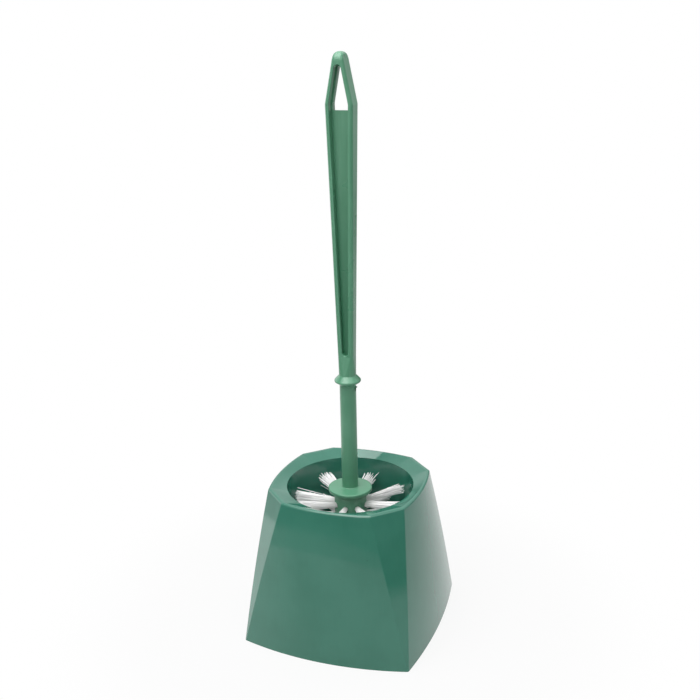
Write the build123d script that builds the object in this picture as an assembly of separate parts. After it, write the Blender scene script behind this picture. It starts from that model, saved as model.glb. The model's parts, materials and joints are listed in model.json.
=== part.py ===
from build123d import *

import os
from math import atan2, cos, degrees, pi, radians, sin

os.makedirs("parts", exist_ok=True)

# A toilet brush standing in its free-standing holder. Millimetres, +Z up.
# The origin is on the ground, on the shared axis of the cup and the brush.
# The holder's front and one open side of the grip face -Y.

# ---------------------------------------------------------------- sizes
# Bristle tufts, each folded over a flat wire anchor in its own hole
tuft_rows = 8
tufts_per_row = 8
end_ring_tufts = 6
row_pitch = 8.6               # height between two rows
row_gap = 1.6                 # free height between the flared tips of two rows
bristle_reach = 42.0          # brush axis to the bristle tips
end_tuft_length = 11.6        # lowest tuft, from the core's end face to its tip
end_ring_angle = 45.0         # how far the end ring of tufts dips below level
tuft_sides = 8
tip_round = 1.6               # length of the trimmed, rounded end of a tuft
tip_shrink = 0.78             # tip face as a share of the flared radius
hole_radius = 2.2
hole_depth = 5.0
hole_web = 0.5                # least plastic between two hole ends
hole_margin = 2.7             # plastic between the outer holes and the core's corners
tuft_fit = 0.12               # bundle to the wall and the end of its hole
anchor_length = 4.2           # across the hole
anchor_width = 1.6            # along the hole
anchor_thickness = 0.4
anchor_bed = 0.5              # bristle fold under the anchor
anchor_fit = 0.06             # anchor to the bristles around it

# Brush head: core, splash disc and the tubular stem
disc_overhang = 4.1           # splash disc beyond the core
disc_thickness = 3.1
disc_edge = 0.7
disc_crown = 0.5              # fall of the disc's top from the stem to its edge
neck_ring_width = 1.3         # ring under the disc, beyond the core
neck_ring_height = 2.4
neck_step = 0.4
neck_height = 4.4             # hollowed stretch between the ring and the straight core
stem_wall = 1.7
stem_length = 76.9            # disc to the top of the tube
stem_foot = 0.8               # fillet where the stem meets the disc

# Handle: spigot, collar, neck, channelled grip and hanging loop
spigot_radius = 3.9
spigot_fit = 0.1              # spigot and snap nub to the tube
spigot_length = 30.0
spigot_lead = 1.0             # chamfer on the spigot's end
nub_drop = 2.6                # collar to the middle of the snap nub
nub_height = 2.6
nub_width = 3.0
nub_proud = 0.6               # nub beyond the outside of the tube
collar_overhang = 3.5         # collar beyond the tube
collar_height = 7.2
collar_edge = 1.0
neck_radius = 5.9
neck_roundness = 0.98         # corner radius at the collar, as a share of the neck's radius
neck_length = 13.6            # round neck growing into the grip's rectangle
grip_foot_width = 11.1
grip_shoulder_width = 18.9
grip_foot_depth = 8.7
grip_length = 167.9           # neck to the shoulders
grip_edge = 2.1
loop_height = 32.0            # shoulders to the top of the loop
loop_top_depth = 12.8
loop_nose_radius = 3.6
loop_dome = 5.5               # rounding of the loop's top, seen from the side
loop_flat = 0.15              # how far the nose is cut flat on its crest
loop_crown = 8.0              # plastic over the top of the channels
loop_channel_radius = 2.2     # at the top of the channels
channel_foot_radius = 2.1
channel_foot_rise = 3.0       # grip's foot to the middle of the channel's round end
channel_flange = 3.1          # side flange at the shoulders
channel_shoulder_round = 6.0
channel_draft = 1.5
channel_edge = 0.4
web_thickness = 1.8
web_top = 4.0                 # shoulders down to the loop's hole
web_rim = 0.8                 # what the web leaves round the hole, inside the flanges

# Cup inside the holder
floor_gap = 4.0               # ground to the underside of the cup
cup_floor = 2.0
cup_wall = 1.8
cup_corner = 4.0              # inside radius between floor and wall
seat_gap = 0.3                # lowest bristle tips to the cup's floor
cup_clearance = 1.4           # bristle tips to the wall at the floor
mouth_clearance = 3.0         # bristle tips to the wall at the mouth

# Holder skirt: eight-sided at the rim, square with swelling sides at the foot
rim_rise = 5.0                # rim above the splash disc
rim_shoulder = 4.6            # mouth to the straight line between two rim corners
rim_facet = 25.5              # width of a corner facet at the rim
rim_bow = 3.8                 # swell of a long side at the rim
rim_crease = 2.0
rim_roll = 1.5                # rounding of the outer top edge
rim_land = 0.3                # flat between the rolled edge and the funnel
foot_side_spread = 11.0       # foot beyond the rim, left and right
foot_front_spread = 9.8       # foot beyond the rim, front and back
foot_facet = 1.2              # width of a corner facet where it runs out
foot_side_bow = 4.9
foot_front_bow = 8.4
foot_crease = 0.5
side_swell = 0.7              # sides beyond the straight taper, at mid height
skirt_wall = 2.2
funnel_drop = 3.4             # rim down to the mouth

# ------------------------------------------------------- derived places
core_radius = (2 * hole_radius + hole_web) / (2 * sin(pi / tufts_per_row)) + hole_depth
end_dip = radians(end_ring_angle)
end_ring_radius = (2 * hole_radius + hole_web) / (2 * sin(pi / end_ring_tufts)) + hole_depth * cos(end_dip)
end_bevel_width = 2 * (core_radius - end_ring_radius)
end_bevel_height = end_bevel_width * cos(end_dip) / sin(end_dip)
tip_radius = (row_pitch - row_gap) / 2

cup_bottom = floor_gap + cup_floor
core_bottom = cup_bottom + seat_gap + end_tuft_length
lowest_row = core_bottom + end_bevel_height + hole_radius + hole_margin
top_row = lowest_row + row_pitch * (tuft_rows - 1)
neck_bottom = top_row + hole_radius + hole_margin / 2
disc_bottom = neck_bottom + neck_height + neck_ring_height
disc_top = disc_bottom + disc_thickness
stem_radius = spigot_radius + spigot_fit + stem_wall
stem_top = disc_top + stem_length
collar_top = stem_top + collar_height
grip_bottom = collar_top + neck_length
shoulder = grip_bottom + grip_length
handle_top = shoulder + loop_height

holder_height = disc_top + rim_rise
mouth_radius = bristle_reach + mouth_clearance
cup_foot_radius = bristle_reach + cup_clearance
rim_half_width = mouth_radius + rim_shoulder
foot_half_width = rim_half_width + foot_side_spread
foot_half_depth = rim_half_width + foot_front_spread


# --------------------------------------------------------------- holder
def bowed_octagon(half_width, half_depth, facet, side_bow, front_bow, height):
    """Four swelling long sides joined by four straight corner facets."""
    x, y = half_width, half_depth
    cut = facet * sin(radians(45))
    sides = [
        [(x, cut - y), (x + side_bow, 0), (x, y - cut)],
        [(x - cut, y), (0, y + front_bow), (cut - x, y)],
        [(-x, y - cut), (-x - side_bow, 0), (-x, cut - y)],
        [(cut - x, -y), (0, -y - front_bow), (x - cut, -y)],
    ]
    edges = []
    for previous, side in zip(sides[-1:] + sides[:-1], sides):
        start, middle, end = [(*point, height) for point in side]
        edges.append(Line((*previous[-1], height), start))
        edges.append(ThreePointArc(start, middle, end))
    return make_face(edges)


def tapered_block(inset, crease_share):
    """The skirt's outer form, or with an inset the hollow inside its wall."""
    foot = (foot_half_width, foot_half_depth, foot_facet, foot_side_bow, foot_front_bow, foot_crease)
    rim = (rim_half_width, rim_half_width, rim_facet, rim_bow, rim_bow, rim_crease)
    waist = [(low + high) / 2 for low, high in zip(foot, rim)]
    waist[0] += side_swell
    waist[1] += side_swell
    faces = []
    for section, height in ((foot, 0), (waist, holder_height / 2), (rim, holder_height)):
        half_width, half_depth, *form, crease = section
        face = bowed_octagon(half_width - inset, half_depth - inset, *form, height)
        faces.append(fillet(face.vertices(), crease * crease_share))
    return loft(faces)


def round_mouth(height):
    """The mouth circle, split into arcs that face the rim's eight sides."""
    half_width = rim_half_width - rim_roll - rim_land
    near = half_width - rim_facet * sin(radians(45))
    lean = degrees(atan2(near, half_width))
    stops = []
    for turn in range(4):
        stops += [90 * turn - 90 + lean, 90 * turn - lean]
    edges = []
    for first, last in zip(stops, stops[1:] + [stops[0] + 360]):
        angles = [radians(first), radians((first + last) / 2), radians(last)]
        points = [(mouth_radius * cos(a), mouth_radius * sin(a), height) for a in angles]
        edges.append(ThreePointArc(*points))
    return make_face(edges)


def funnel(drop):
    """Everything above the sloping top, lowered by drop."""
    half_width = rim_half_width - rim_roll - rim_land
    rim = bowed_octagon(half_width, half_width, rim_facet, rim_bow, rim_bow, holder_height - drop)
    slope = loft([round_mouth(holder_height - funnel_drop - drop), rim], ruled=True)
    return slope + extrude(rim, skirt_wall + 1)


def make_holder():
    outside = tapered_block(0, 1)
    top = outside.faces().sort_by(Axis.Z)[-1]
    outside = fillet(top.edges(), rim_roll)

    above_plate = Pos(0, 0, holder_height - skirt_wall) * Box(
        4 * foot_half_width, 4 * foot_half_depth, 2 * skirt_wall,
        align=(Align.CENTER, Align.CENTER, Align.MIN))
    hollow = tapered_block(skirt_wall, 0.5) - above_plate - funnel(skirt_wall)

    plate_middle = holder_height - funnel_drop - skirt_wall / 2
    mouth_z = holder_height - funnel_drop
    cup_outside = make_face(Polyline(
        (0, 0, floor_gap), (cup_foot_radius + cup_wall, 0, floor_gap),
        (mouth_radius + cup_wall, 0, plate_middle), (0, 0, plate_middle), close=True))
    cup_outside = fillet(cup_outside.vertices().sort_by(Axis.Z)[:2].sort_by(Axis.X)[-1:], cup_corner + cup_wall)
    cup_inside = make_face(Polyline(
        (0, 0, cup_bottom), (cup_foot_radius, 0, cup_bottom),
        (mouth_radius, 0, mouth_z), (0, 0, mouth_z), close=True))
    cup_inside = fillet(cup_inside.vertices().sort_by(Axis.Z)[:2].sort_by(Axis.X)[-1:], cup_corner)

    holder = outside - hollow + revolve(cup_outside, Axis.Z)
    return holder - revolve(cup_inside, Axis.Z) - funnel(0)


# ---------------------------------------------------------- brush head
def hole_places():
    """Where each row's tufts start, as a list of rows of local frames.

    A local frame's +X runs out along the tuft, and its hole's mouth lies on it.
    Each row is (frames, distance from the frame's origin to the mouth, tuft length).
    """
    rows = []
    for row in range(tuft_rows):
        stagger = 180 / tufts_per_row * (row % 2)
        height = top_row - row_pitch * row
        frames = [Pos(0, 0, height) * Rot(0, 0, 360 / tufts_per_row * n + stagger)
                  for n in range(tufts_per_row)]
        rows.append((frames, core_radius, bristle_reach - core_radius))

    mouth_z = core_bottom + end_bevel_height / 2
    reach = end_ring_radius / cos(end_dip)
    apex = mouth_z + reach * sin(end_dip)
    fall = mouth_z - cup_bottom - seat_gap
    length = (fall - tip_radius * cos(end_dip)) / sin(end_dip)
    frames = [Pos(0, 0, apex) * Rot(0, 0, 360 / end_ring_tufts * n) * Rot(0, end_ring_angle, 0)
              for n in range(end_ring_tufts)]
    rows.append((frames, reach, length))

    frames = [Pos(0, 0, core_bottom + hole_depth) * Rot(0, 90, 0)]
    rows.append((frames, hole_depth, end_tuft_length))
    return rows


def faceted_bar(stations):
    """A flat-sided solid along +X, through polygons given as (distance, radius)."""
    angles = [2 * pi * side / tuft_sides for side in range(tuft_sides)]
    rings = [[(x, radius * cos(a), radius * sin(a)) for a in angles] for x, radius in stations]
    faces = [Face(Wire.make_polygon(rings[0])), Face(Wire.make_polygon(rings[-1]))]
    for near, far in zip(rings, rings[1:]):
        for side in range(tuft_sides):
            corners = [near[side - 1], near[side], far[side], far[side - 1]]
            faces.append(Face(Wire.make_polygon(corners)))
    return Solid(Shell(faces))


def make_brush_head(rows):
    profile = Polyline(
        (0, 0, core_bottom),
        (core_radius - end_bevel_width, 0, core_bottom),
        (core_radius, 0, core_bottom + end_bevel_height),
        (core_radius, 0, neck_bottom))
    ring_radius = core_radius + neck_ring_width
    ring_bottom = disc_bottom - neck_ring_height
    hollow_neck = TangentArc(
        (core_radius, 0, neck_bottom), (ring_radius - neck_step, 0, ring_bottom), tangent=(0, 0, 1))
    disc_radius = core_radius + disc_overhang
    above = Polyline(
        (ring_radius - neck_step, 0, ring_bottom),
        (ring_radius, 0, ring_bottom),
        (ring_radius, 0, disc_bottom),
        (disc_radius, 0, disc_bottom),
        (disc_radius, 0, disc_top - disc_crown),
        (stem_radius, 0, disc_top),
        (stem_radius, 0, stem_top),
        (0, 0, stem_top),
        (0, 0, core_bottom))
    section = make_face(profile.edges() + hollow_neck.edges() + above.edges())
    disc_rim = section.vertices().filter_by_position(Axis.X, disc_radius - 0.01, disc_radius + 0.01)
    section = fillet(disc_rim, disc_edge)
    foot = section.vertices().filter_by_position(Axis.X, stem_radius - 0.01, stem_radius + 0.01)
    section = fillet(foot.sort_by(Axis.Z)[:1], stem_foot)
    head = revolve(section, Axis.Z)

    bore_depth = spigot_length + 2 * spigot_fit
    head -= Pos(0, 0, stem_top) * Cylinder(
        spigot_radius + spigot_fit, bore_depth, align=(Align.CENTER, Align.CENTER, Align.MAX))
    head -= Pos(0, 0, stem_top - nub_drop) * Box(
        2 * stem_radius, nub_width + 2 * spigot_fit, nub_height + 2 * spigot_fit,
        align=(Align.MIN, Align.CENTER, Align.CENTER))

    holes = []
    for frames, mouth, length in rows:
        drill = faceted_bar([(mouth - hole_depth, hole_radius), (mouth + hole_depth, hole_radius)])
        holes += [frame * drill for frame in frames]
    return head - holes


# --------------------------------------------------------------- tufts
def make_tuft(mouth, length):
    """One bundle along +X, folded round its anchor inside the hole and flaring outside."""
    root = mouth - hole_depth + tuft_fit
    root_radius = hole_radius - tuft_fit
    tip = mouth + length
    bundle = faceted_bar([
        (root, root_radius),
        (mouth, root_radius),
        (tip - tip_round, tip_radius),
        (tip, tip_radius * tip_shrink),
    ])
    slot = Box(anchor_width + 2 * anchor_fit, anchor_thickness + 2 * anchor_fit, 4 * hole_radius)
    return bundle - Pos(root + anchor_bed + anchor_width / 2, 0, 0) * slot


def make_anchor(mouth):
    root = mouth - hole_depth + tuft_fit
    return Pos(root + anchor_bed + anchor_width / 2, 0, 0) * Box(
        anchor_width, anchor_thickness, anchor_length)


# -------------------------------------------------------------- handle
def front_hull(low_circle, points, high_circle):
    """A convex outline in the XZ plane round two circles and a mirrored list of points.

    A circle is (radius, height), on the axis, or None.
    """
    edges = []
    for circle in (low_circle, high_circle):
        if circle:
            edges += (Pos(0, circle[1]) * Circle(circle[0])).edges()
    mirrored = [(-x, z) for x, z in reversed(points)]
    edges += Polyline(*points, *mirrored, close=True).edges()
    return Plane.XZ * make_hull(edges)


def make_spigot_and_collar():
    """The turned lower end: chamfered spigot, double-coned collar and start of the neck."""
    collar_radius = stem_radius + collar_overhang
    widest = stem_top + collar_height / 2
    section = make_face(Polyline(
        (0, 0, stem_top - spigot_length),
        (spigot_radius - spigot_lead, 0, stem_top - spigot_length),
        (spigot_radius, 0, stem_top - spigot_length + spigot_lead),
        (spigot_radius, 0, stem_top),
        (stem_radius, 0, stem_top),
        (collar_radius, 0, widest - collar_edge),
        (collar_radius, 0, widest),
        (neck_radius, 0, collar_top),
        (0, 0, collar_top),
        close=True))
    edge = section.vertices().filter_by_position(Axis.X, collar_radius - 0.01, collar_radius + 0.01)
    return revolve(fillet(edge, collar_edge), Axis.Z)


def make_snap_nub():
    """A ramped nub on the spigot's +X side that springs into the tube's window."""
    root = spigot_radius / 2
    peak = stem_radius + nub_proud
    top = stem_top - nub_drop + nub_height / 2
    bottom = top - nub_height
    side = Plane.XZ * make_face(Polyline(
        (root, top), (peak, top), (peak, top - nub_height / 3), (spigot_radius, bottom), (root, bottom),
        close=True))
    return extrude(side, nub_width / 2, both=True)


def front_and_back(solid):
    """The two broad faces, which lean a little from the front-to-back direction."""
    return solid.faces().filter_by(lambda face: abs(face.normal_at().Y) > 0.99)


def make_slab():
    """The grip and loop before they are channelled, tapering in width and in depth."""
    front = front_hull(
        None, [(grip_foot_width / 2, grip_bottom), (grip_shoulder_width / 2, shoulder)],
        (loop_nose_radius, handle_top + loop_flat - loop_nose_radius))
    side = make_face(Polyline(
        (-grip_foot_depth / 2, grip_bottom), (grip_foot_depth / 2, grip_bottom),
        (loop_top_depth / 2, handle_top), (-loop_top_depth / 2, handle_top), close=True))
    side = Plane.YZ * fillet(side.vertices().sort_by(Axis.Y)[-2:], loop_dome)
    slab = extrude(front, loop_top_depth, both=True) & extrude(side, grip_shoulder_width, both=True)
    rims = slab.edges().filter_by(Axis.X, reverse=True).filter_by(Axis.Y, reverse=True)
    return fillet(rims, grip_edge)


def make_handle():
    slab = make_slab()

    # Neck: round at the collar, the grip's rounded rectangle at its top
    round_end = RectangleRounded(2 * neck_radius, 2 * neck_radius, neck_roundness * neck_radius)
    square_end = slab.faces().sort_by(Axis.Z)[0]
    neck = loft([(Pos(0, 0, collar_top) * round_end).face(), square_end])

    # Channels drawn out to both faces
    channel_foot = grip_bottom + channel_foot_rise
    channel_half = grip_shoulder_width / 2 - channel_flange
    channel_head = handle_top - loop_crown - loop_channel_radius
    channel = front_hull(
        (channel_foot_radius, channel_foot),
        [(channel_foot_radius, channel_foot), (channel_half, shoulder)],
        (loop_channel_radius, channel_head))
    bends = channel.vertices().filter_by_position(Axis.Z, shoulder - 0.01, shoulder + 0.01)
    channel = fillet(bends, channel_shoulder_round)
    front = extrude(channel, loop_top_depth, taper=-channel_draft)
    body = slab - front - mirror(front, Plane.XZ)
    mouths = [face.inner_wires()[0].edges() for face in front_and_back(body)]
    body = fillet(mouths[0] + mouths[1], channel_edge)

    # The web between the channels, rooted in the flanges and cut out for the loop's hole
    hole_half = channel_half - web_rim
    hole = front_hull(
        None, [(hole_half, shoulder - web_top), (hole_half, shoulder)],
        (loop_channel_radius - web_rim, channel_head))
    web = extrude(offset(channel, channel_flange / 2) - hole, web_thickness / 2, both=True)

    return make_spigot_and_collar() + make_snap_nub() + neck + body + web


# -------------------------------------------------------------- export
def export(name, shape):
    export_step(shape, f"parts/{name}.step")


rows = hole_places()
row_names = [f"row_{number}" for number in range(1, tuft_rows + 1)] + ["end_ring", "end"]

export("holder", make_holder())
export("brush_head", make_brush_head(rows))
export("handle", make_handle())

for name, (frames, mouth, length) in zip(row_names, rows):
    tuft = make_tuft(mouth, length)
    anchor = make_anchor(mouth)
    export(f"tufts_{name}", Compound([frame * tuft for frame in frames]))
    export(f"anchors_{name}", Compound([frame * anchor for frame in frames]))
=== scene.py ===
import json
from math import cos, pi, radians, sin

import bpy
from mathutils import Matrix, Vector

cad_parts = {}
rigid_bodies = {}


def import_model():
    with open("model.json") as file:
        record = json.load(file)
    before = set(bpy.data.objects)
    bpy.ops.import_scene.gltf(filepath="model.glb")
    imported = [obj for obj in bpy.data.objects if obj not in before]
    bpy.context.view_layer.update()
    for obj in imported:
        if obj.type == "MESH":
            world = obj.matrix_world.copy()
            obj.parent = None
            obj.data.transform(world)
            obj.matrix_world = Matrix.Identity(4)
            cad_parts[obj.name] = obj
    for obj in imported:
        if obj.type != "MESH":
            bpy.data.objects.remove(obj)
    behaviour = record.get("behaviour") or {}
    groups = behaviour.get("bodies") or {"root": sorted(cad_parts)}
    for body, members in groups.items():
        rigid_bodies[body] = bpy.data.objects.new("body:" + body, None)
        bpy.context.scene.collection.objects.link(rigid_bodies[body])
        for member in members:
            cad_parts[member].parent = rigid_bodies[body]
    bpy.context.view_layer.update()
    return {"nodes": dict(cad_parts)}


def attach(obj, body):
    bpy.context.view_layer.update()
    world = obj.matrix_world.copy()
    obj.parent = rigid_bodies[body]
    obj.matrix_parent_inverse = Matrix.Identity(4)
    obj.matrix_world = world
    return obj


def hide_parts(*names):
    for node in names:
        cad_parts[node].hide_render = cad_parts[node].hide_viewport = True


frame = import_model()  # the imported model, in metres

nodes = frame["nodes"]
mm = 0.001
print("frame loaded:", len(nodes), "nodes")


class Value:  # one shader or geometry value that takes Python's operators
    def __init__(self, wiring, socket):
        self.wiring = wiring
        self.socket = socket

    def math(self, operation, first, second=0.0, third=0.0):
        return self.wiring.add("ShaderNodeMath", {"operation": operation}, {0: first, 1: second, 2: third})

    def __add__(self, other):
        return self.math("ADD", self, other)

    def __sub__(self, other):
        return self.math("SUBTRACT", self, other)

    def __rsub__(self, other):
        return self.math("SUBTRACT", other, self)

    def __mul__(self, other):
        return self.math("MULTIPLY", self, other)

    def __truediv__(self, other):
        return self.math("DIVIDE", self, other)

    def __pow__(self, other):
        return self.math("POWER", self, other)

    __radd__ = __add__
    __rmul__ = __mul__

    def above(self, limit):
        return self.math("GREATER_THAN", self, limit)

    def clamped(self):
        return self.math("MINIMUM", self.math("MAXIMUM", self, 0.0), 1.0)

    def ramp(self, low, high):  # 0 at low, 1 at high, smooth between
        sockets = {"Value": self, "From Min": low, "From Max": high}
        return self.wiring.add("ShaderNodeMapRange", {"interpolation_type": "SMOOTHSTEP"}, sockets)


class Wiring:  # a node tree being filled
    def __init__(self, tree):
        self.tree = tree
        self.tree.nodes.clear()

    def add(self, kind, settings=None, sockets=None, out=0):
        node = self.tree.nodes.new(kind)
        for name, setting in (settings or {}).items():
            setattr(node, name, setting)
        for name, value in (sockets or {}).items():
            if isinstance(value, Value):
                self.tree.links.new(value.socket, node.inputs[name])
            else:
                node.inputs[name].default_value = value
        return Value(self, node.outputs[out]) if node.outputs else None

    def also(self, value, out):  # another output of the node that gave a value
        return Value(self, value.socket.node.outputs[out])

    def noise(self, place, scale, detail=2.0):
        sockets = {"Vector": place, "Scale": scale, "Detail": detail}
        return self.add("ShaderNodeTexNoise", {}, sockets)

    def blend(self, factor, first, second):  # two colours
        return self.add("ShaderNodeMix", {"data_type": "RGBA"}, {0: factor, 6: first, 7: second}, out=2)

    def stretched(self, place, scale):
        return self.add("ShaderNodeMapping", {}, {"Vector": place, "Scale": scale})


def newMaterial(name):
    material = bpy.data.materials.new(name)
    material.use_nodes = True
    return material, Wiring(material.node_tree)


cameraSet = {
    "azimuth": 20.25,  # degrees to the right of the front
    "distance": 0.6641,  # level distance from the brush's axis
    "height": 0.4237,
    "pitch": 18.33,  # degrees down
    "roll": -1.35,
    "lens": 52.77,
    "sensor": 36,
    "shift": (0.00423, 0.00094),
}


def makeCamera():
    azimuth, pitch, roll = [radians(cameraSet[name]) for name in ("azimuth", "pitch", "roll")]
    level = Vector((-sin(azimuth), cos(azimuth), 0))
    right = Vector((cos(azimuth), sin(azimuth), 0))
    ahead = level * cos(pitch) - Vector((0, 0, sin(pitch)))
    up = right.cross(ahead)
    cameraRight = right * cos(roll) + up * sin(roll)
    cameraUp = up * cos(roll) - right * sin(roll)
    data = bpy.data.cameras.new("camera")
    data.lens = cameraSet["lens"]
    data.sensor_width = cameraSet["sensor"]
    data.shift_x, data.shift_y = cameraSet["shift"]
    camera = bpy.data.objects.new("camera", data)
    bpy.context.scene.collection.objects.link(camera)
    turn = Matrix((cameraRight, cameraUp, -ahead)).transposed().to_4x4()
    place = -level * cameraSet["distance"] + Vector((0, 0, cameraSet["height"]))
    camera.matrix_world = Matrix.Translation(place) @ turn
    bpy.context.scene.camera = camera


lampSet = {
    "top": {"azimuth": -40, "elevation": 79, "distance": 1.4, "size": 1.3, "power": 23},
    "key": {"azimuth": -16, "elevation": 45, "distance": 1.5, "size": 0.9, "power": 5.4},
    "side": {"azimuth": 135, "elevation": 28, "distance": 1.5, "size": 0.9, "power": 3.2},
}
lampTarget = Vector((0, 0, 0.15))  # where all of them point


def awayFrom(azimuth, elevation):  # unit vector to a place in the room, turned from the front to the right
    azimuth, elevation = radians(azimuth), radians(elevation)
    return Vector((sin(azimuth) * cos(elevation), -cos(azimuth) * cos(elevation), sin(elevation)))


def makeLamps():
    for name, lamp in lampSet.items():
        away = awayFrom(lamp["azimuth"], lamp["elevation"])
        data = bpy.data.lights.new(name, "AREA")
        data.size = lamp["size"]
        data.energy = lamp["power"]
        light = bpy.data.objects.new(name, data)
        bpy.context.scene.collection.objects.link(light)
        light.location = lampTarget + away * lamp["distance"]
        light.rotation_euler = (-away).to_track_quat("-Z", "Y").to_euler()


studioSet = {
    "ambient": 0.46,  # plain light from all round
    "white": 1.0,  # strength at which the background shows white
    "floorX": (-0.9, 0.9),
    "floorY": (-0.75, 1.6),
    "floorColour": 0.58,
    "floorShade": 0.12,  # how much of the real light, and so of the shadow, the camera sees on the floor
    "floorWhite": (0.13, 0.24),  # metres from the middle where that starts to fade and is gone
}

# What a glossy surface sees: soft panels round the room, each full inside one angle and gone at another,
# and a floor that is bright near the object and brightest on its left
glossSet = {
    "room": 0.2,
    "panels": {
        "front": {"azimuth": -18, "elevation": 13, "angles": (15, 32), "strength": 1.1},
        "above": {"azimuth": 25, "elevation": 55, "angles": (28, 58), "strength": 2.4},
        "back": {"azimuth": -162, "elevation": 42, "angles": (24, 42), "strength": 1.0},
        "left": {"azimuth": -108, "elevation": 0, "angles": (18, 36), "strength": 1.7},
        "side": {"azimuth": 155, "elevation": -12, "angles": (12, 26), "strength": 0.5},
    },
    "floor": 1.0,
    "floorLeft": 0.62,  # extra on the left
    "floorCentre": 0.08,  # to the right of the object, in metres
    "floorWidth": 0.8,  # a metre along X counts as this much
    "floorBack": 0.35,  # and one along Y behind the object as this, so it is bright further back
    "floorSteps": [(0.37, 0.395, 0.5), (0.45, 0.52, 0.5)],  # from where to where it dims, and its share
    "floorSlant": (-0.14, 0.05),  # Y less X, where the left part starts and is full
    "floorMiddle": (-0.06, 0.02),  # X, where the left part is full and ends
}


def showToCamera(wiring, plain, glossy, seen):  # what lights the object, what it mirrors, what is seen
    camera = wiring.add("ShaderNodeLightPath", out="Is Camera Ray")
    gloss = wiring.also(camera, "Is Glossy Ray")
    clear = wiring.also(camera, "Is Transmission Ray")
    shown = wiring.add("ShaderNodeMixShader", {}, {0: gloss, 1: plain, 2: glossy})
    return wiring.add("ShaderNodeMixShader", {}, {0: (camera + clear).clamped(), 1: shown, 2: seen})


def makeWorld():
    world = bpy.data.worlds.new("studio")
    bpy.context.scene.world = world
    world.use_nodes = True
    wiring = Wiring(world.node_tree)
    towards = wiring.add("ShaderNodeTexCoord", out="Generated")
    gloss = glossSet["room"]
    for panel in glossSet["panels"].values():
        full, gone = [cos(radians(angle)) for angle in panel["angles"]]
        middle = awayFrom(panel["azimuth"], panel["elevation"])
        facing = wiring.add(
            "ShaderNodeVectorMath", {"operation": "DOT_PRODUCT"}, {0: towards, 1: middle}, out="Value")
        gloss = facing.ramp(gone, full) * panel["strength"] + gloss
    strengths = (studioSet["ambient"], gloss, studioSet["white"])
    backgrounds = [
        wiring.add("ShaderNodeBackground", {}, {"Color": (1, 1, 1, 1), "Strength": strength})
        for strength in strengths]
    wiring.add("ShaderNodeOutputWorld", {}, {"Surface": showToCamera(wiring, *backgrounds)})


def makeFloor():
    material, wiring = newMaterial("floorWhite")
    place = wiring.add("ShaderNodeTexCoord", out="Object")
    x = wiring.add("ShaderNodeSeparateXYZ", {}, {0: place}, out="X")
    y = wiring.also(x, "Y")
    depth = y.math("MAXIMUM", y * glossSet["floorBack"], 0 - y)
    reach = (((x - glossSet["floorCentre"]) * glossSet["floorWidth"]) ** 2 + depth ** 2) ** 0.5
    left = (y - x).ramp(*glossSet["floorSlant"]) * (1 - x.ramp(*glossSet["floorMiddle"]))
    bright = left * glossSet["floorLeft"] + (glossSet["floor"] - glossSet["room"])
    lost = sum(reach.ramp(start, end) * share for start, end, share in glossSet["floorSteps"])
    gloss = (1 - lost) * bright + glossSet["room"]
    colour = studioSet["floorColour"]
    matt = wiring.add("ShaderNodeBsdfDiffuse", {}, {"Color": (colour, colour, colour, 1)})
    seenInGloss = wiring.add("ShaderNodeEmission", {}, {"Strength": gloss})
    white = wiring.add("ShaderNodeEmission", {}, {"Strength": studioSet["white"]})
    shade = (1 - ((x * x + y * y) ** 0.5).ramp(*studioSet["floorWhite"])) * studioSet["floorShade"]
    seen = wiring.add("ShaderNodeMixShader", {}, {0: shade, 1: white, 2: matt})
    wiring.add("ShaderNodeOutputMaterial", {}, {"Surface": showToCamera(wiring, matt, seenInGloss, seen)})
    (left, right), (near, far) = studioSet["floorX"], studioSet["floorY"]
    mesh = bpy.data.meshes.new("floor")
    corners = [(left, near, 0), (right, near, 0), (right, far, 0), (left, far, 0)]
    mesh.from_pydata(corners, [], [(0, 1, 2, 3)])
    mesh.materials.append(material)
    floor = bpy.data.objects.new("floor", mesh)
    bpy.context.scene.collection.objects.link(floor)


bpy.context.scene.view_settings.view_transform = "Standard"
makeCamera()
makeLamps()
makeWorld()
makeFloor()
print("studio ready")


# Colours are linear and lengths are in metres. The scale of a noise is its fineness, per metre.
plasticSets = {
    "holder": {
        "colour": (0.027, 0.155, 0.105, 1),
        "pale": (0.036, 0.175, 0.122, 1),  # where the pigment is thinner
        "cloud": 0.045,  # size of the soft clouds in the pigment
        "roughness": (0.05, 0.08),
        "peel": 0.0016,  # grain of the orange peel
        "peelDepth": 0.010,
        "scuffs": 0.12,
        "flow": 0.1,  # share of the faint lines along the mould's flow in the pigment
        "specks": 0.0165,  # size of the cells of which some hold a speck
    },
    "handle": {
        "colour": (0.078, 0.248, 0.145, 1),
        "pale": (0.100, 0.282, 0.174, 1),
        "cloud": 0.030,
        "roughness": (0.25, 0.34),
        "peel": 0.0007,
        "peelDepth": 0.030,
        "scuffs": 0.12,
        "flow": 0.5,
        "specks": 0.060,
        "paintedShadeDepth": (1.2 * mm, 3.5 * mm),  # off the middle plane, where the painted shade of the channels is full and gone
        "paintedShadeRise": (0.19, 0.37),  # height over which the painted shade fades
        # colour of the painted shade, darker where the channels get less light
        "deep": (0.036, 0.172, 0.090, 1),
    },
    "head": {
        "colour": (0.074, 0.240, 0.140, 1),
        "pale": (0.094, 0.270, 0.168, 1),
        "cloud": 0.025,
        "roughness": (0.34, 0.44),
        "peel": 0.0008,
        "peelDepth": 0.030,
        "scuffs": 0.2,
        "flow": 0.2,
        "specks": 0.040,
    },
}
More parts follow.
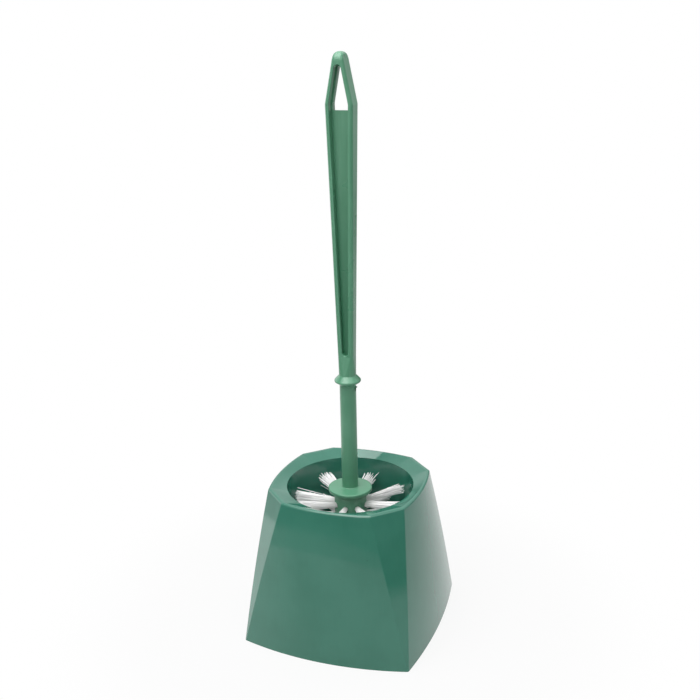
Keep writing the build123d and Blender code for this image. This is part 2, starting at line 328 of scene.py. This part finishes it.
mouldSet = {  # what the three plastics share
    "index": 1.5,  # of refraction
    "cloudDetail": 3.0,
    "paleEdges": (0.36, 0.66),  # noise at which the pale colour starts and is full
    "flowScale": 480.0,
    "flowStretch": (1, 1, 0.05),
    "speckRadius": (0.2 * mm, 0.5 * mm),  # full inside one, gone at the other
    "speckColour": (0.012, 0.045, 0.035, 1),
    "speckShare": 0.45,  # how much of that colour a speck has
    "emptyCells": 0.66,  # share of the cells that hold no speck
    "alongScale": 900.0,
    "alongStretch": (1, 1, 0.03),
    "alongEdges": (0.62, 0.74),
    "acrossScale": 700.0,
    "acrossStretch": (0.03, 0.03, 1),
    "acrossEdges": (0.66, 0.78),
    "rubbedScale": 38.0,
    "rubbedDetail": 3.0,
    "rubbedEdges": (0.50, 0.72),
    "dullScale": 55.0,
    "dullShare": 0.7,  # of the range of roughness, before the hairlines
    "secondPeel": 0.22,  # fineness of the broad grain against the fine one
    "hairDepth": 0.08,  # of the hairlines against the grain
    "bumpDistance": 1 * mm,
}
fineDetail = 1.0  # octaves of a noise that needs no smaller grain in it


def mouldedPlastic(name):
    look = plasticSets[name]
    material, wiring = newMaterial(name + "Plastic")
    place = wiring.add("ShaderNodeTexCoord", out="Object")
    clouds = wiring.noise(place, 1 / look["cloud"], mouldSet["cloudDetail"])
    flow = wiring.noise(wiring.stretched(place, mouldSet["flowStretch"]), mouldSet["flowScale"])
    thin = (clouds * (1 - look["flow"]) + flow * look["flow"]).ramp(*mouldSet["paleEdges"])
    colour = wiring.blend(thin, look["colour"], look["pale"])

    # Painted shade: the colour darkens in the channels near the middle plane and towards their lower end,
    # where less light gets in
    if "deep" in look:
        height = wiring.add("ShaderNodeSeparateXYZ", {}, {0: place}, out="Z")
        depth = wiring.also(height, "Y")
        inside = 1 - depth.math("ABSOLUTE", depth).ramp(*look["paintedShadeDepth"])
        low = 1 - height.ramp(*look["paintedShadeRise"])
        colour = wiring.blend(inside * low, colour, look["deep"])

    # A few dark specks, each a small dot at a cell's own point, in about a third of the cells
    cells = {"Vector": place, "Scale": 1 / look["specks"], "Randomness": 1.0}
    reach = wiring.add("ShaderNodeTexVoronoi", {}, cells, out="Distance")
    cellColour = wiring.also(reach, "Color")
    chosen = wiring.add("ShaderNodeSeparateColor", {}, {"Color": cellColour}, out="Red")
    dot = 1 - (reach * look["specks"]).ramp(*mouldSet["speckRadius"])
    speck = dot * chosen.above(mouldSet["emptyCells"])
    colour = wiring.blend(speck * mouldSet["speckShare"], colour, mouldSet["speckColour"])

    # Rubbing: fine crossed hairlines where hands and cloths pass
    rubbed = wiring.noise(place, mouldSet["rubbedScale"], mouldSet["rubbedDetail"])
    rubbed = rubbed.ramp(*mouldSet["rubbedEdges"])
    hairs = 0.0
    for run in ("along", "across"):
        stretched = wiring.stretched(place, mouldSet[run + "Stretch"])
        lines = wiring.noise(stretched, mouldSet[run + "Scale"], fineDetail)
        hairs = lines.ramp(*mouldSet[run + "Edges"]) + hairs
    hairs = hairs.clamped() * rubbed * look["scuffs"]

    smooth, dull = look["roughness"]
    patches = wiring.noise(place, mouldSet["dullScale"]) * mouldSet["dullShare"]
    roughness = smooth + (dull - smooth) * (patches + hairs)
    fine = wiring.noise(place, 1 / look["peel"], fineDetail)
    broad = wiring.noise(place, mouldSet["secondPeel"] / look["peel"], fineDetail)
    relief = fine + broad - hairs * mouldSet["hairDepth"]
    bump = {"Height": relief, "Strength": look["peelDepth"], "Distance": mouldSet["bumpDistance"]}
    normal = wiring.add("ShaderNodeBump", {}, bump, out="Normal")
    surface = wiring.add("ShaderNodeBsdfPrincipled", {}, {
        "Base Color": colour, "Roughness": roughness, "Normal": normal, "IOR": mouldSet["index"]})
    wiring.add("ShaderNodeOutputMaterial", {}, {"Surface": surface})
    return material


bristleLook = {
    "root": (0.92, 0.91, 0.905, 1),
    "white": (0.955, 0.945, 0.945, 1),
    "dull": (0.93, 0.918, 0.918, 1),
    "rootEdges": (0.15, 0.6),  # share of the length where the root's colour starts to fade and is gone
    "crimp": 1400.0,  # fineness of the crimps
    "crimpBump": (0.15, 0.2 * mm),  # strength and distance
    "roughness": (0.5, 0.7),
    "index": 1.53,
}


def bristleNylon():
    material, wiring = newMaterial("bristleNylon")
    shade = wiring.add("ShaderNodeAttribute", {"attribute_name": "shade"}, out="Fac")
    along = wiring.add("ShaderNodeAttribute", {"attribute_name": "along"}, out="Fac")
    place = wiring.add("ShaderNodeTexCoord", out="Object")
    colour = wiring.blend(shade, bristleLook["dull"], bristleLook["white"])
    colour = wiring.blend(1 - along.ramp(*bristleLook["rootEdges"]), colour, bristleLook["root"])
    crimp = wiring.noise(place, bristleLook["crimp"], fineDetail)
    strength, distance = bristleLook["crimpBump"]
    normal = wiring.add("ShaderNodeBump", {}, {
        "Height": crimp, "Strength": strength, "Distance": distance}, out="Normal")
    smooth, dull = bristleLook["roughness"]
    roughness = crimp * (dull - smooth) + smooth
    surface = wiring.add("ShaderNodeBsdfPrincipled", {}, {
        "Base Color": colour, "Roughness": roughness, "Normal": normal, "IOR": bristleLook["index"]})
    wiring.add("ShaderNodeOutputMaterial", {}, {"Surface": surface})
    return material


wireLook = {
    "deep": (0.52, 0.37, 0.15, 1),
    "bright": (0.66, 0.50, 0.24, 1),
    "drawn": 2500.0,  # fineness of the lines that drawing leaves
    "drawnStretch": (1, 1, 0.1),
    "roughness": (0.2, 0.45),
}


def anchorWire():
    material, wiring = newMaterial("anchorWire")
    place = wiring.add("ShaderNodeTexCoord", out="Object")
    drawn = wiring.noise(wiring.stretched(place, wireLook["drawnStretch"]), wireLook["drawn"])
    colour = wiring.blend(drawn, wireLook["deep"], wireLook["bright"])
    smooth, dull = wireLook["roughness"]
    surface = wiring.add("ShaderNodeBsdfPrincipled", {}, {
        "Base Color": colour, "Metallic": 1.0, "Roughness": drawn * (dull - smooth) + smooth})
    wiring.add("ShaderNodeOutputMaterial", {}, {"Surface": surface})
    return material


def dress():
    finishes = {
        "holder": mouldedPlastic("holder"),
        "handle": mouldedPlastic("handle"),
        "brush_head": mouldedPlastic("head"),
    }
    wire = anchorWire()
    for name, node in nodes.items():
        if name.startswith("anchors"):
            finishes[name] = wire
        if name in finishes:
            node.material_slots[0].material = finishes[name]


dress()
print("plastic and wire dressed")


bristleSet = {
    "filaments": 96,  # in one tuft
    "filamentRadius": 0.21 * mm,
    "rootRadius": 1.5 * mm,
    "tipRadius": 3.3 * mm,
    "uneven": 0.11,  # share of its length by which a filament may end short
    "splay": 0.8 * mm,  # wander of a tip along each axis
    "stray": 3.4 * mm,  # and what the few that stick out have more
    "curl": 0.6 * mm,  # bend of a filament, at its tip
    "lean": 0.8 * mm,  # shift of a whole tuft's tips along each axis
    "strayPower": 8,  # the higher, the fewer of those
    "sides": 4,  # of a filament
    "steps": 3,  # along it
    "seed": 11,
}
goldenAngle = 2.39996  # radians from one root to the next
wholeTurn = 6.28  # radians by which a tuft may be turned
drawNumbers = {"lean": 1, "splay": 2, "curl": 3, "cut": 4, "shade": 5, "stray": 6}  # added to the seed
# Top tufts that the cup's mouth has pushed up or that use has spread, by their place in the row
bentTufts = {"tufts_row_1": {
    0: {"lift": 3.0 * mm},
    1: {"lift": 2.4 * mm},
    2: {"lift": 1.6 * mm, "flare": 1.35},
    3: {"lift": 1.8 * mm, "flare": 1.6},
    5: {"lift": 6.0 * mm},
}}
tuftRows = {
    "tufts": 8,  # in a row
    "evenStart": 22.5,  # degrees to the first tuft of every second row
    "ringTufts": 6,
    "ringDip": 45.0,  # degrees by which the end ring's tufts point down
    "faceDepth": 0.05 * mm,  # points of an end face lie within this
}


def tuftEnds(points, aim):  # middle of the root face and of the tip face
    depths = [point.dot(aim) for point in points]
    ends = []
    for level in (min(depths), max(depths)):
        face = [point for point, depth in zip(points, depths) if abs(depth - level) < tuftRows["faceDepth"]]
        low = Vector([min(point[axis] for point in face) for axis in range(3)])
        high = Vector([max(point[axis] for point in face) for axis in range(3)])
        ends.append((low + high) / 2)
    return ends


def findTufts():  # root, tip, lift and flare of each
    tufts = []
    for name, node in sorted(nodes.items()):
        if not name.startswith("tufts"):
            continue
        points = [vertex.co for vertex in node.data.vertices]
        if name == "tufts_end":
            tufts.append((*tuftEnds(points, Vector((0, 0, -1))), 0.0, 1.0))
            continue
        count, start, dip = tuftRows["tufts"], 0.0, 0.0
        if name == "tufts_end_ring":
            count, dip = tuftRows["ringTufts"], radians(tuftRows["ringDip"])
        elif int(name[-1]) % 2 == 0:
            start = radians(tuftRows["evenStart"])
        for index in range(count):
            angle = start + 2 * pi * index / count
            level = Vector((cos(angle), sin(angle), 0))
            aim = level * cos(dip) - Vector((0, 0, sin(dip)))
            sector = cos(pi / count)
            own = [point for point in points if point.xy.normalized().dot(level.xy) > sector]
            bent = bentTufts.get(name, {}).get(index, {})
            tufts.append((*tuftEnds(own, aim), bent.get("lift", 0.0), bent.get("flare", 1.0)))
    return tufts


class GeometryWiring(Wiring):  # a Geometry Nodes tree with named inputs
    def __init__(self, name, inputs):
        tree = bpy.data.node_groups.new(name, "GeometryNodeTree")
        super().__init__(tree)
        tree.interface.new_socket("Geometry", in_out="INPUT", socket_type="NodeSocketGeometry")
        self.ids = {}
        for label, kind in inputs.items():
            socket = tree.interface.new_socket(label, in_out="INPUT", socket_type="NodeSocket" + kind)
            self.ids[label] = socket.identifier
        tree.interface.new_socket("Geometry", in_out="OUTPUT", socket_type="NodeSocketGeometry")
        self.entry = tree.nodes.new("NodeGroupInput")

    def given(self, label):
        return Value(self, self.entry.outputs[label])

    def attribute(self, name, kind="FLOAT"):
        return self.add("GeometryNodeInputNamedAttribute", {"data_type": kind}, {"Name": name})

    def store(self, geometry, name, value, kind="FLOAT"):
        return self.add("GeometryNodeStoreNamedAttribute", {"data_type": kind, "domain": "POINT"}, {
            "Geometry": geometry, "Name": name, "Value": value})

    def vector(self, operation, first, second=(0.0, 0.0, 0.0), out="Vector"):
        return self.add("ShaderNodeVectorMath", {"operation": operation}, {0: first, 1: second}, out)

    def scaled(self, vector, factor):
        return self.add("ShaderNodeVectorMath", {"operation": "SCALE"}, {0: vector, "Scale": factor})

    def random(self, kind, low, high, owner, seed):
        sockets = {"FLOAT": (2, 3, 1), "FLOAT_VECTOR": (0, 1, 0)}[kind]
        return self.add("FunctionNodeRandomValue", {"data_type": kind}, {
            sockets[0]: low, sockets[1]: high, "ID": owner, "Seed": seed}, out=sockets[2])


def bristleTree():
    tree = GeometryWiring("bristleTufts", {
        "Filaments": "Int", "Filament Radius": "Float", "Root Radius": "Float", "Tip Radius": "Float",
        "Uneven": "Float", "Splay": "Float", "Stray": "Float", "Curl": "Float", "Lean": "Float",
        "Seed": "Int", "Material": "Material"})
    given = tree.given
    roots = tree.add("GeometryNodeDuplicateElements", {"domain": "POINT"}, {
        "Geometry": given("Geometry"), "Amount": given("Filaments")}, out="Geometry")
    turn = tree.also(roots, "Duplicate Index")

    # Roots fill a circle evenly, and tips a wider one in the same order
    centre = tree.add("GeometryNodeInputPosition")
    tuft = tree.attribute("tuft", "INT")
    axis = tree.vector("SUBTRACT", tree.attribute("tip", "FLOAT_VECTOR"), centre)
    side = tree.attribute("side", "FLOAT_VECTOR")
    above = tree.vector("NORMALIZE", tree.vector("CROSS_PRODUCT", axis, side))
    share = ((turn + 0.5) / given("Filaments")) ** 0.5
    angle = turn * goldenAngle + tree.random("FLOAT", 0.0, wholeTurn, tuft, given("Seed"))
    outwards = tree.vector(
        "ADD",
        tree.scaled(side, angle.math("COSINE", angle) * share),
        tree.scaled(above, angle.math("SINE", angle) * share))
    owner = tree.add("GeometryNodeInputIndex")

    def upToOne(name):  # a draw from 0 to 1 for each filament
        return tree.random("FLOAT", 0.0, 1.0, owner, given("Seed") + drawNumbers[name])

    def anyWay(name, holder):  # a draw from -1 to 1 on each axis
        low, high = (-1.0, -1.0, -1.0), (1.0, 1.0, 1.0)
        return tree.random("FLOAT_VECTOR", low, high, holder, given("Seed") + drawNumbers[name])

    lean = tree.scaled(anyWay("lean", tuft), given("Lean"))
    lean = tree.vector("ADD", lean, tree.scaled((0.0, 0.0, 1.0), tree.attribute("lift")))
    stray = upToOne("stray") ** bristleSet["strayPower"] * given("Stray")
    splay = tree.scaled(anyWay("splay", owner), given("Splay") + stray)
    curl = tree.scaled(anyWay("curl", owner), given("Curl"))
    start = tree.scaled(outwards, given("Root Radius"))
    spread = tree.vector("ADD", splay, tree.scaled(outwards, given("Tip Radius")))
    spread = tree.scaled(spread, tree.attribute("flare"))
    end = tree.vector("ADD", tree.vector("ADD", axis, lean), spread)
    cut = 1 - given("Uneven") * upToOne("cut")
    run = tree.scaled(tree.vector("SUBTRACT", end, start), cut)
    points = tree.store(roots, "run", run, "FLOAT_VECTOR")
    points = tree.store(points, "curl", curl, "FLOAT_VECTOR")
    points = tree.store(points, "shade", upToOne("shade"))
    points = tree.add("GeometryNodeSetPosition", {}, {"Geometry": points, "Offset": start})

    # One filament: a thin four-sided rod from 0 to 1 along Z
    rod = tree.add("GeometryNodeMeshCylinder", {}, {
        "Vertices": bristleSet["sides"], "Side Segments": bristleSet["steps"],
        "Radius": given("Filament Radius"), "Depth": 1.0})
    rod = tree.add("GeometryNodeTransform", {}, {"Geometry": rod, "Translation": (0, 0, 0.5)})
    height = tree.add("ShaderNodeSeparateXYZ", {}, {0: tree.add("GeometryNodeInputPosition")}, out="Z")
    rod = tree.store(rod, "along", height)

    run = tree.attribute("run", "FLOAT_VECTOR")
    length = tree.vector("LENGTH", run, out="Value")
    turned = tree.add("FunctionNodeAlignRotationToVector", {"axis": "Z"}, {"Vector": run})
    size = tree.add("ShaderNodeCombineXYZ", {}, {"X": 1.0, "Y": 1.0, "Z": length})
    rods = tree.add("GeometryNodeInstanceOnPoints", {}, {
        "Points": points, "Instance": rod, "Rotation": turned, "Scale": size})
    rods = tree.add("GeometryNodeRealizeInstances", {}, {"Geometry": rods})
    along = tree.attribute("along")
    bend = tree.scaled(tree.attribute("curl", "FLOAT_VECTOR"), along * along)
    rods = tree.add("GeometryNodeSetPosition", {}, {"Geometry": rods, "Offset": bend})
    rods = tree.add("GeometryNodeSetMaterial", {}, {"Geometry": rods, "Material": given("Material")})
    tree.add("NodeGroupOutput", {}, {"Geometry": rods})
    return tree


def keep(mesh, name, kind, field, values):  # an attribute on the mesh's points
    mesh.attributes.new(name, kind, "POINT").data.foreach_set(field, values)


def growBristles():
    tufts = findTufts()
    mesh = bpy.data.meshes.new("bristleRoots")
    roots, tips, lifts, flares = zip(*tufts)
    mesh.from_pydata(roots, [], [])
    sides = [(tip - root).orthogonal().normalized() for root, tip in zip(roots, tips)]
    keep(mesh, "tip", "FLOAT_VECTOR", "vector", [part for tip in tips for part in tip])
    keep(mesh, "side", "FLOAT_VECTOR", "vector", [part for side in sides for part in side])
    keep(mesh, "tuft", "INT", "value", list(range(len(tufts))))
    keep(mesh, "lift", "FLOAT", "value", lifts)
    keep(mesh, "flare", "FLOAT", "value", flares)
    seedling = bpy.data.objects.new("bristleRoots", mesh)
    bpy.context.scene.collection.objects.link(seedling)

    tree = bristleTree()
    modifier = seedling.modifiers.new("bristles", "NODES")
    modifier.node_group = tree.tree
    settings = {
        "Filaments": "filaments", "Filament Radius": "filamentRadius", "Root Radius": "rootRadius",
        "Tip Radius": "tipRadius", "Uneven": "uneven", "Splay": "splay", "Stray": "stray",
        "Curl": "curl", "Lean": "lean", "Seed": "seed"}
    for label, key in settings.items():
        modifier[tree.ids[label]] = bristleSet[key]
    modifier[tree.ids["Material"]] = bristleNylon()
    grown = bpy.data.meshes.new_from_object(
        seedling.evaluated_get(bpy.context.evaluated_depsgraph_get()))
    seedling.modifiers.clear()
    bpy.data.objects.remove(seedling)
    bristles = bpy.data.objects.new("bristles", grown)
    bpy.context.scene.collection.objects.link(bristles)
    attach(bristles, "brush")
    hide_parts(*[name for name in nodes if name.startswith("tufts")])
    print("bristles grown:", len(tufts), "tufts,", len(grown.polygons), "faces")


growBristles()
